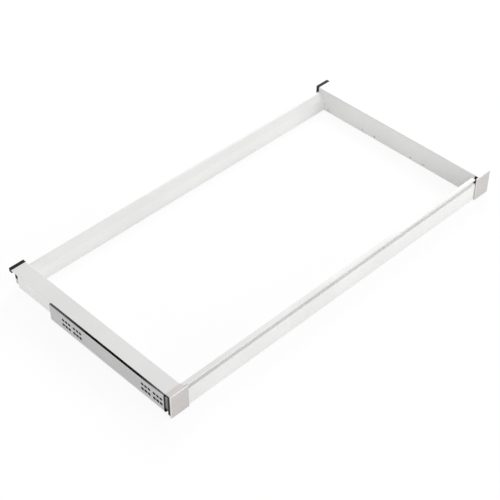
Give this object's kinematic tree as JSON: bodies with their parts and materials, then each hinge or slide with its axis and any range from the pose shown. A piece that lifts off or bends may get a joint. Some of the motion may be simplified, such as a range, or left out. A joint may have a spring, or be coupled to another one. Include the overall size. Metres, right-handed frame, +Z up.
{
  "type": "pull-out frame",
  "caption": "Wide rectangular pull-out frame on side-mounted ball-bearing slides, which carries baskets, trays or shelves out of a cabinet.",
  "frame": {"origin": "middle of the footprint at the height of the covers' lower edges, with the frame closed", "axes": "+X to the right across the cabinet, +Y from the front of the cabinet to its back, +Z up; the frame pulls out along -Y"},
  "size_m": [0.964, 0.5, 0.06],
  "materials": {
    "white_powder_coat": "smooth semi-gloss white powder coat",
    "grey_cover": "satin warm grey lacquer",
    "galvanised_steel": "zinc plated, drawn along the strip",
    "black_plastic": "fine moulded grain",
    "stop_rubber": "matt black",
    "ball_steel": "polished",
    "screw_steel": "zinc plated"
  },
  "bodies": {
    "cabinet": {"cabinet_member_left": "galvanised_steel", "cabinet_member_right": "galvanised_steel", "slide_rear_stop_left": "stop_rubber", "slide_rear_stop_right": "stop_rubber", "slide_front_guide_left": "black_plastic", "slide_front_guide_right": "black_plastic"},
    "frame": {"side_rail_left": "white_powder_coat", "side_rail_right": "white_powder_coat", "front_rail": "white_powder_coat", "rear_rail": "white_powder_coat", "front_corner_block_left": "black_plastic", "front_corner_block_right": "black_plastic", "front_corner_cover_left": "grey_cover", "front_corner_cover_right": "grey_cover", "rear_end_cap_left": "black_plastic", "rear_end_cap_right": "black_plastic", "rear_corner_bracket_left": "galvanised_steel", "rear_corner_bracket_right": "galvanised_steel", "drawer_member_left": "galvanised_steel", "drawer_member_right": "galvanised_steel", "slide_screws_left": "screw_steel", "slide_screws_right": "screw_steel", "front_block_screws_left": "screw_steel", "front_block_screws_right": "screw_steel", "rear_bracket_screws_left": "screw_steel", "rear_bracket_screws_right": "screw_steel", "lever_rivet_left": "screw_steel", "lever_rivet_right": "screw_steel", "front_rail_screws": "screw_steel"},
    "left_intermediate": {"intermediate_member_left": "galvanised_steel"},
    "left_outer_cage": {"outer_cage_left": "galvanised_steel", "outer_balls_left": "ball_steel"},
    "left_inner_cage": {"inner_cage_left": "galvanised_steel", "inner_balls_left": "ball_steel"},
    "left_lever": {"release_lever_left": "black_plastic"},
    "right_intermediate": {"intermediate_member_right": "galvanised_steel"},
    "right_outer_cage": {"outer_cage_right": "galvanised_steel", "outer_balls_right": "ball_steel"},
    "right_inner_cage": {"inner_cage_right": "galvanised_steel", "inner_balls_right": "ball_steel"},
    "right_lever": {"release_lever_right": "black_plastic"}
  },
  "joints": [
    {"name": "frame_pull", "type": "slide", "parent": "cabinet", "child": "frame", "axis": [0, -1, 0], "range_m": [0, 0.345]},
    {"name": "left_intermediate_slide", "type": "slide", "parent": "cabinet", "child": "left_intermediate", "axis": [0, -1, 0], "range_m": [0, 0.1725]},
    {"name": "left_outer_cage_slide", "type": "slide", "parent": "cabinet", "child": "left_outer_cage", "axis": [0, -1, 0], "range_m": [0, 0.08625]},
    {"name": "left_inner_cage_slide", "type": "slide", "parent": "cabinet", "child": "left_inner_cage", "axis": [0, -1, 0], "range_m": [0, 0.25875]},
    {"name": "left_lever_press", "type": "hinge", "parent": "frame", "child": "left_lever", "pos_m": [-0.4728, -0.12, 0.0276], "axis": [1, 0, 0], "range_deg": [-6, 6]},
    {"name": "right_intermediate_slide", "type": "slide", "parent": "cabinet", "child": "right_intermediate", "axis": [0, -1, 0], "range_m": [0, 0.1725]},
    {"name": "right_outer_cage_slide", "type": "slide", "parent": "cabinet", "child": "right_outer_cage", "axis": [0, -1, 0], "range_m": [0, 0.08625]},
    {"name": "right_inner_cage_slide", "type": "slide", "parent": "cabinet", "child": "right_inner_cage", "axis": [0, -1, 0], "range_m": [0, 0.25875]},
    {"name": "right_lever_press", "type": "hinge", "parent": "frame", "child": "right_lever", "pos_m": [0.4728, -0.12, 0.0276], "axis": [1, 0, 0], "range_deg": [-6, 6]}
  ],
  "couplings": [
    {"joint": "left_intermediate_slide", "follows": "frame_pull", "ratio": 0.5},
    {"joint": "left_outer_cage_slide", "follows": "frame_pull", "ratio": 0.25},
    {"joint": "left_inner_cage_slide", "follows": "frame_pull", "ratio": 0.75},
    {"joint": "right_intermediate_slide", "follows": "frame_pull", "ratio": 0.5},
    {"joint": "right_outer_cage_slide", "follows": "frame_pull", "ratio": 0.25},
    {"joint": "right_inner_cage_slide", "follows": "frame_pull", "ratio": 0.75}
  ]
}
